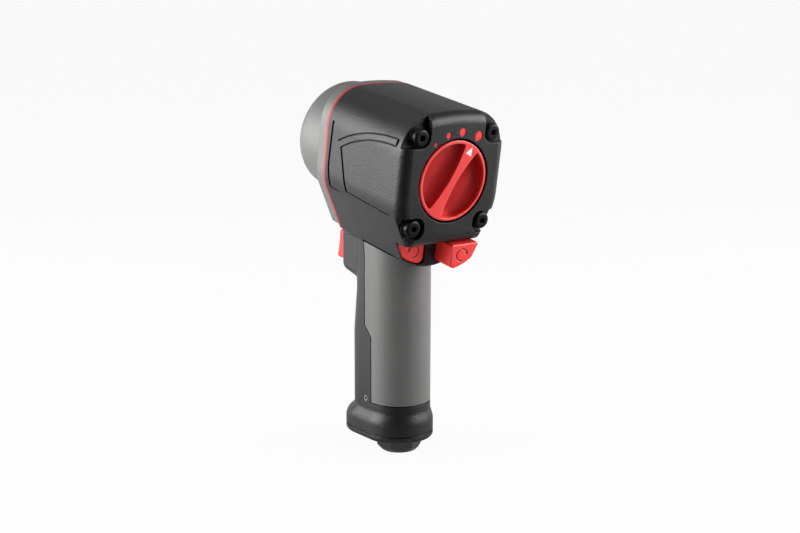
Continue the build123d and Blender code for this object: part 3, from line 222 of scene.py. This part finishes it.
def make_edge_lines():
    """Softened edges: their normal, a mask of edges for wear and painted highlight, and a mask of corners
    for painted shade.
    """
    group, start, end = make_group(
        "edge_lines",
        [("Radius", 0.0005), ("Depth", 0.0015)],
        [("Normal", "NodeSocketVector"), ("Edge", "NodeSocketFloat"), ("Painted Shade", "NodeSocketFloat")],
    )
    bevel = put(group, "ShaderNodeBevel", {"samples": 6})
    group.links.new(start.outputs["Radius"], bevel.inputs["Radius"])
    surface = put(group, "ShaderNodeNewGeometry")
    along = put(group, "ShaderNodeVectorMath", {"operation": "DOT_PRODUCT"})
    group.links.new(bevel.outputs["Normal"], along.inputs[0])
    group.links.new(surface.outputs["Normal"], along.inputs[1])
    edge = spread(group, along.outputs["Value"], start=WEAR_AND_HIGHLIGHT_START, full=WEAR_AND_HIGHLIGHT_FULL)
    # Painted shade: ambient occlusion darkens corners and crevices
    shade = put(group, "ShaderNodeAmbientOcclusion", {"samples": 8, "only_local": True})
    group.links.new(start.outputs["Depth"], shade.inputs["Distance"])
    corner = spread(group, shade.outputs["AO"], start=PAINTED_SHADE_START, full=PAINTED_SHADE_FULL)
    group.links.new(bevel.outputs["Normal"], end.inputs["Normal"])
    group.links.new(edge, end.inputs["Edge"])
    group.links.new(corner, end.inputs["Painted Shade"])
    return group


def make_parting_line():
    """A faint line at the middle plane, where the halves of the moulding tool met."""
    group, start, end = make_group("parting_line", [("Half Width", 0.0005)], [("Line", "NodeSocketFloat")])
    place = put(group, "ShaderNodeTexCoord")
    parts = put(group, "ShaderNodeSeparateXYZ")
    group.links.new(place.outputs["Object"], parts.inputs[0])
    away = put(group, "ShaderNodeMath", {"operation": "ABSOLUTE"})
    group.links.new(parts.outputs["X"], away.inputs[0])
    line = put(group, "ShaderNodeMapRange", None, {"To Min": 1.0, "To Max": 0.0})
    group.links.new(away.outputs[0], line.inputs["Value"])
    group.links.new(start.outputs["Half Width"], line.inputs["From Max"])
    group.links.new(line.outputs["Result"], end.inputs["Line"])
    return group


def make_painted_hollow_shade():
    """A mask of painted shade for what lies below the face of the dial, along the drive axis."""
    group, _, end = make_group("painted_hollow_shade", [], [("Sunk", "NodeSocketFloat")])
    place = put(group, "ShaderNodeTexCoord")
    along = distance_along(group, place.outputs["Object"], DRIVE_AXIS)
    sunk = spread(group, along, start=DIAL_FACE + HOLLOW_START, full=DIAL_FACE + HOLLOW_FULL)
    group.links.new(sunk, end.inputs["Sunk"])
    return group


def make_tool_lines():
    """Fine turned or ground lines across a metal face."""
    line_stretch = (1.0, 14.0, 14.0)
    patch_share = 0.6
    group, start, end = make_group(
        "tool_lines",
        [("Scale", 260.0)],
        [("Height", "NodeSocketFloat"), ("Tone", "NodeSocketFloat")],
    )
    place = put(group, "ShaderNodeTexCoord")
    stretch = put(group, "ShaderNodeMapping", None, {"Scale": line_stretch})
    group.links.new(place.outputs["Object"], stretch.inputs["Vector"])
    lines = put(group, "ShaderNodeTexNoise", None, {"Detail": 5.0, "Roughness": 0.65})
    group.links.new(stretch.outputs["Vector"], lines.inputs["Vector"])
    group.links.new(start.outputs["Scale"], lines.inputs["Scale"])
    patches = put(group, "ShaderNodeTexNoise", None, {"Scale": 90.0, "Detail": 2.0})
    group.links.new(place.outputs["Object"], patches.inputs["Vector"])
    group.links.new(lines.outputs["Fac"], end.inputs["Height"])
    tone = sum_of(group, lines.outputs["Fac"], patches.outputs["Fac"], patch_share)
    group.links.new(spread(group, tone, -0.3, 0.95), end.inputs["Tone"])
    return group


moulded_grain = make_moulded_grain()
handling = make_handling()
edge_lines = make_edge_lines()
parting_line = make_parting_line()
painted_hollow_shade = make_painted_hollow_shade()
tool_lines = make_tool_lines()


# Finishes

def start_material(name, sockets):
    """A new material whose shader has these socket values."""
    material = bpy.data.materials.new(name)
    material.use_nodes = True
    tree = material.node_tree
    shader = tree.nodes["Principled BSDF"]
    for key, value in sockets.items():
        shader.inputs[key].default_value = value
    return material, tree, shader


def add_relief(tree, shader, height, edges, bump, reach):
    """Bump on top of the softened edges."""
    relief = put(tree, "ShaderNodeBump", None, {"Strength": bump, "Distance": reach})
    tree.links.new(height, relief.inputs["Height"])
    tree.links.new(edges.outputs["Normal"], relief.inputs["Normal"])
    tree.links.new(relief.outputs["Normal"], shader.inputs["Normal"])


finishes = {}


def moulded(
    name, dark, light, worn, crevice, rough, grain, bump,
    edge=0.0005, depth=0.0015, fleck=0.25, parting=0.0, hollow_shade=0.0, **sockets,
):
    """A moulded piece: two tones of one colour, lighter edges for wear and painted highlight, painted
    shade in corners and a fine grain.
    """
    material, tree, shader = start_material(name, sockets)
    texture = use(tree, moulded_grain, {"Scale": grain})
    tone = use(tree, handling)
    edges = use(tree, edge_lines, {"Radius": edge, "Depth": depth})
    handled = spread(tree, tone.outputs["Tone"], 0.0, 1.0 - fleck)
    mixed = sum_of(tree, handled, texture.outputs["Fleck"], fleck)
    colour = blend_colours(tree, mixed, dark, light)
    # Lighter edges: wear, and with the red colours partly a painted highlight
    colour = blend_colours(tree, edges.outputs["Edge"], colour, worn)
    # Painted shade in corners and crevices
    colour = blend_colours(tree, edges.outputs["Painted Shade"], colour, crevice)
    painted_shade_share = edges.outputs["Painted Shade"]
    if parting > 0:
        line = use(tree, parting_line)
        colour = blend_colours(tree, spread(tree, line.outputs["Line"], 0.0, parting), colour, crevice)
    # Painted shade in the dial's hollows, darker with depth below its face, in colour and in shine
    if hollow_shade > 0:
        sunk = use(tree, painted_hollow_shade)
        colour = blend_colours(tree, spread(tree, sunk.outputs["Sunk"], 0.0, hollow_shade), colour, crevice)
        painted_shade_share = sum_of(tree, painted_shade_share, sunk.outputs["Sunk"], hollow_shade)
    if "Metallic" not in sockets:
        # Painted shade: a metal share of the piece's own dark colour takes the white shine out of corners
        # and out of the dial's hollows
        tree.links.new(painted_shade_share, shader.inputs["Metallic"])
    tree.links.new(colour, shader.inputs["Base Color"])
    tree.links.new(spread(tree, mixed, *rough), shader.inputs["Roughness"])
    add_relief(tree, shader, texture.outputs["Height"], edges, bump, GRAIN_HEIGHT)
    finishes[name] = material


def machined(name, dark, light, worn, rough, lines, bump, edge=0.0003):
    """A machined or ground metal piece."""
    material, tree, shader = start_material(name, {"Metallic": 1.0})
    texture = use(tree, tool_lines, {"Scale": lines})
    edges = use(tree, edge_lines, {"Radius": edge, "Depth": BORE_REACH})
    colour = blend_colours(tree, texture.outputs["Tone"], dark, light)
    colour = blend_colours(tree, edges.outputs["Edge"], colour, worn)
    # Painted shade in corners and bores
    colour = blend_colours(tree, edges.outputs["Painted Shade"], colour, BORE_PAINTED_SHADE)
    tree.links.new(colour, shader.inputs["Base Color"])
    tree.links.new(spread(tree, texture.outputs["Tone"], *rough), shader.inputs["Roughness"])
    add_relief(tree, shader, texture.outputs["Height"], edges, bump, TOOL_LINE_HEIGHT)
    finishes[name] = material


moulded(
    "housing_black",
    dark=(0.006, 0.006, 0.0065), light=(0.012, 0.012, 0.013),
    worn=(0.020, 0.020, 0.021), crevice=(0.0, 0.0, 0.0),
    rough=(0.36, 0.52), grain=1150.0, bump=0.85, depth=0.0016, fleck=0.4, **{"Specular IOR Level": 0.6},
)
moulded(
    "grip_grey",
    dark=(0.100, 0.100, 0.097), light=(0.122, 0.122, 0.118),
    worn=(0.22, 0.22, 0.21), crevice=(0.012, 0.012, 0.012),
    rough=(0.50, 0.62), grain=2300.0, bump=0.22, edge=0.0004, parting=0.3,
    **{"Sheen Weight": 0.5, "Sheen Roughness": 0.45, "Specular IOR Level": 0.8},
)
moulded(
    "case_grey",
    dark=(0.185, 0.185, 0.180), light=(0.225, 0.225, 0.218),
    worn=(0.32, 0.32, 0.31), crevice=(0.03, 0.03, 0.03),
    rough=(0.46, 0.58), grain=1400.0, bump=0.25, edge=0.0007, Metallic=0.25,
)
moulded(
    "trim_red",
    dark=(0.46, 0.016, 0.016), light=(0.56, 0.026, 0.024),
    worn=RED_WEAR_AND_HIGHLIGHT, crevice=RED_PAINTED_SHADE,
    rough=(0.42, 0.54), grain=2000.0, bump=0.15, edge=0.0003,
)
moulded(
    "bolt_black",
    dark=(0.006, 0.006, 0.0065), light=(0.011, 0.011, 0.0115),
    worn=(0.03, 0.03, 0.03), crevice=(0.001, 0.001, 0.001),
    rough=(0.30, 0.42), grain=1500.0, bump=0.12, edge=0.0003, Metallic=0.5,
)
moulded(
    "washer_black",
    dark=(0.007, 0.007, 0.0075), light=(0.012, 0.012, 0.0125),
    worn=(0.025, 0.025, 0.025), crevice=(0.001, 0.001, 0.001),
    rough=(0.36, 0.48), grain=1500.0, bump=0.12, edge=0.0003, Metallic=0.4,
)
moulded("mark_red", **RED, rough=(0.38, 0.5), grain=2000.0, bump=0.12, edge=0.0003)
moulded(
    "dial_red", **RED, rough=(0.30, 0.40), grain=2100.0, bump=0.16, edge=0.0006, hollow_shade=0.42,
    **{"Specular IOR Level": 0.9},
)
moulded(
    "button_red", **RED, rough=(0.32, 0.44), grain=2100.0, bump=0.16, edge=0.0005,
    **{"Specular IOR Level": 0.75},
)
moulded("trigger_red", **RED, rough=(0.34, 0.46), grain=2100.0, bump=0.16, edge=0.0005)
moulded(
    "pointer_white",
    dark=(0.80, 0.80, 0.79), light=(0.88, 0.88, 0.87),
    worn=(0.9, 0.9, 0.89), crevice=(0.5, 0.5, 0.5),
    rough=(0.42, 0.52), grain=1800.0, bump=0.1, edge=0.0002,
)
moulded(
    "seal_black",
    dark=(0.012, 0.012, 0.012), light=(0.02, 0.02, 0.02),
    worn=(0.03, 0.03, 0.03), crevice=(0.002, 0.002, 0.002),
    rough=(0.55, 0.7), grain=2400.0, bump=0.2, edge=0.0002,
)
moulded(
    "felt_grey",
    dark=(0.26, 0.25, 0.24), light=(0.40, 0.39, 0.37),
    worn=(0.42, 0.41, 0.39), crevice=(0.08, 0.08, 0.08),
    rough=(0.85, 0.95), grain=900.0, bump=0.8, edge=0.0003, fleck=0.7,
)
moulded(
    "vane_brown",
    dark=(0.18, 0.085, 0.035), light=(0.27, 0.14, 0.06),
    worn=(0.34, 0.2, 0.1), crevice=(0.05, 0.02, 0.01),
    rough=(0.5, 0.65), grain=1300.0, bump=0.3, edge=0.0002,
)
machined(
    "plain_steel", dark=(0.42, 0.42, 0.425), light=(0.55, 0.55, 0.55), worn=(0.66, 0.66, 0.66),
    rough=(0.26, 0.40), lines=260.0, bump=0.2,
)
machined(
    "inlet_steel", dark=(0.075, 0.068, 0.064), light=(0.15, 0.140, 0.132), worn=(0.40, 0.38, 0.36),
    rough=(0.16, 0.28), lines=240.0, bump=0.22,
)
machined(
    "dark_steel", dark=(0.13, 0.13, 0.132), light=(0.22, 0.22, 0.222), worn=(0.42, 0.42, 0.42),
    rough=(0.30, 0.44), lines=300.0, bump=0.22,
)
machined(
    "polished_steel", dark=(0.56, 0.56, 0.57), light=(0.66, 0.66, 0.67), worn=(0.72, 0.72, 0.72),
    rough=(0.10, 0.2), lines=400.0, bump=0.06,
)
machined(
    "bronze", dark=(0.48, 0.32, 0.13), light=(0.62, 0.45, 0.22), worn=(0.72, 0.56, 0.3),
    rough=(0.26, 0.4), lines=260.0, bump=0.18,
)
machined(
    "alloy", dark=(0.52, 0.52, 0.525), light=(0.64, 0.64, 0.64), worn=(0.72, 0.72, 0.72),
    rough=(0.28, 0.42), lines=280.0, bump=0.16,
)

for piece in frame["record"]["subparts"]:
    node = frame["nodes"][piece["node"]]
    for material_slot in node.material_slots:
        material_slot.material = finishes[piece["material_slot"]]


# Pieces of the scene

def make_inlet_thread():
    """A ridge wound on the wall of the inlet's bore."""
    thread_foot = (THREAD_RADIUS, 0, THREAD_START)
    deselect_all()
    bpy.ops.mesh.primitive_circle_add(
        vertices=THREAD_SIDES, radius=THREAD_RIDGE, location=thread_foot, rotation=(pi / 2, 0, 0)
    )
    ridge = bpy.context.object
    ridge.name = "inlet_thread"
    bpy.ops.object.mode_set(mode="EDIT")
    bpy.ops.mesh.select_all(action="SELECT")
    bpy.ops.transform.rotate(value=pi / 2, orient_axis="Y", center_override=thread_foot)
    bpy.ops.object.mode_set(mode="OBJECT")
    bpy.ops.object.transform_apply(location=True, rotation=True, scale=True)
    winding = ridge.modifiers.new("winding", "SCREW")
    winding.axis = "Z"
    winding.angle = 2 * pi
    winding.screw_offset = THREAD_PITCH
    winding.iterations = THREAD_TURNS
    winding.steps = THREAD_STEPS
    winding.render_steps = THREAD_STEPS
    bpy.ops.object.modifier_apply(modifier=winding.name)
    bpy.ops.object.mode_set(mode="EDIT")
    bpy.ops.mesh.select_all(action="SELECT")
    bpy.ops.mesh.remove_doubles(threshold=MERGE_REACH)
    bpy.ops.mesh.fill_holes(sides=THREAD_SIDES)
    bpy.ops.mesh.normals_make_consistent(inside=False)
    bpy.ops.object.mode_set(mode="OBJECT")
    bpy.ops.object.shade_smooth_by_angle(angle=SMOOTH_ANGLE)
    ridge.data.materials.append(finishes["inlet_steel"])
    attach(ridge, "tool")


# Stage

def add_softbox(name, place, width, height, power):
    """A rectangular lamp that faces the tool."""
    deselect_all()
    bpy.ops.object.light_add(type="AREA", location=place)
    lamp = bpy.context.object
    lamp.name = name
    lamp.data.shape = "RECTANGLE"
    lamp.data.size = width
    lamp.data.size_y = height
    lamp.data.energy = power
    lamp.rotation_euler = (Vector(LAMP_AIM) - Vector(place)).to_track_quat("-Z", "Y").to_euler()


def light_the_room():
    """A white backdrop that is dark behind the camera and pale ahead of it, near the floor, as a light."""
    world = bpy.data.worlds.new("studio")
    bpy.context.scene.world = world
    world.use_nodes = True
    tree = world.node_tree
    backdrop = tree.nodes["Background"]
    backdrop.inputs["Color"].default_value = WHITE
    place = put(tree, "ShaderNodeTexCoord")
    ahead = distance_along(tree, place.outputs["Generated"], LOOK_AHEAD)
    pale = spread(tree, ahead, ROOM_DARK, ROOM_PALE, ROOM_DARK_END, ROOM_PALE_START)
    parts = put(tree, "ShaderNodeSeparateXYZ")
    tree.links.new(place.outputs["Generated"], parts.inputs[0])
    low = spread(tree, parts.outputs["Z"], 1.0, ROOM_HIGH_SHARE, ROOM_LOW_END, ROOM_HIGH_START)
    room = put(tree, "ShaderNodeMath", {"operation": "MULTIPLY"})
    tree.links.new(pale, room.inputs[0])
    tree.links.new(low, room.inputs[1])
    paths = put(tree, "ShaderNodeLightPath")
    seen = larger_of(tree, paths.outputs["Is Camera Ray"], paths.outputs["Is Transmission Ray"])
    strength = put(tree, "ShaderNodeMapRange", None, {"To Max": 1.0})
    tree.links.new(seen, strength.inputs["Value"])
    tree.links.new(room.outputs[0], strength.inputs["To Min"])
    tree.links.new(strength.outputs["Result"], backdrop.inputs["Strength"])


def lay_floor():
    """White paper that takes a faint shadow, and is pale in reflections only ahead of the camera."""
    deselect_all()
    bpy.ops.mesh.primitive_plane_add(size=FLOOR_SIZE, location=(0, 0, 0))
    floor = bpy.context.object
    floor.name = "floor"
    paper, tree, shader = start_material("white_paper", {"Base Color": PAPER_WHITE, "Roughness": 0.9})
    glow = put(tree, "ShaderNodeEmission", None, {"Color": WHITE})
    paths = put(tree, "ShaderNodeLightPath")
    mirrored = larger_of(tree, paths.outputs["Is Glossy Ray"], paths.outputs["Is Transmission Ray"])
    place = put(tree, "ShaderNodeTexCoord")
    ahead = distance_along(tree, place.outputs["Object"], LOOK_AHEAD)
    fade = spread(tree, ahead, FLOOR_DARK_SHARE, 1.0, FLOOR_DARK_END, FLOOR_PALE_START)
    strength = larger_of(tree, paths.outputs["Is Camera Ray"], fade)
    tree.links.new(strength, glow.inputs["Strength"])
    # The camera sees the paper's own shadow through the rest of the glow
    seen = put(tree, "ShaderNodeMath", {"operation": "MULTIPLY"})
    tree.links.new(paths.outputs["Is Camera Ray"], seen.inputs[0])
    seen.inputs[1].default_value = FLOOR_GLOW
    share = larger_of(tree, seen.outputs[0], mirrored)
    both = put(tree, "ShaderNodeMixShader")
    tree.links.new(share, both.inputs["Fac"])
    tree.links.new(shader.outputs["BSDF"], both.inputs[1])
    tree.links.new(glow.outputs["Emission"], both.inputs[2])
    tree.links.new(both.outputs["Shader"], tree.nodes["Material Output"].inputs["Surface"])
    floor.data.materials.append(paper)


def set_camera():
    view = (CAMERA_AIM - CAMERA_PLACE).to_track_quat("-Z", "Y")
    turn = view @ Quaternion((0, 0, 1), CAMERA_ROLL)
    deselect_all()
    bpy.ops.object.camera_add(location=CAMERA_PLACE, rotation=turn.to_euler())
    camera = bpy.context.object
    camera.data.sensor_width = CAMERA_SENSOR
    camera.data.lens = CAMERA_LENS
    camera.data.clip_start = CAMERA_CLIP
    bpy.context.scene.camera = camera


make_inlet_thread()
add_softbox("left_softbox", place=(-0.82, 0.47, 0.22), width=0.8, height=0.8, power=16.5)
add_softbox("right_softbox", place=(0.68, -0.60, 0.42), width=0.9, height=0.7, power=11.5)
add_softbox("top_softbox", place=(-0.1, 0.25, 1.1), width=0.6, height=0.6, power=1.2)
light_the_room()
lay_floor()
set_camera()
bpy.context.scene.view_settings.view_transform = "Standard"
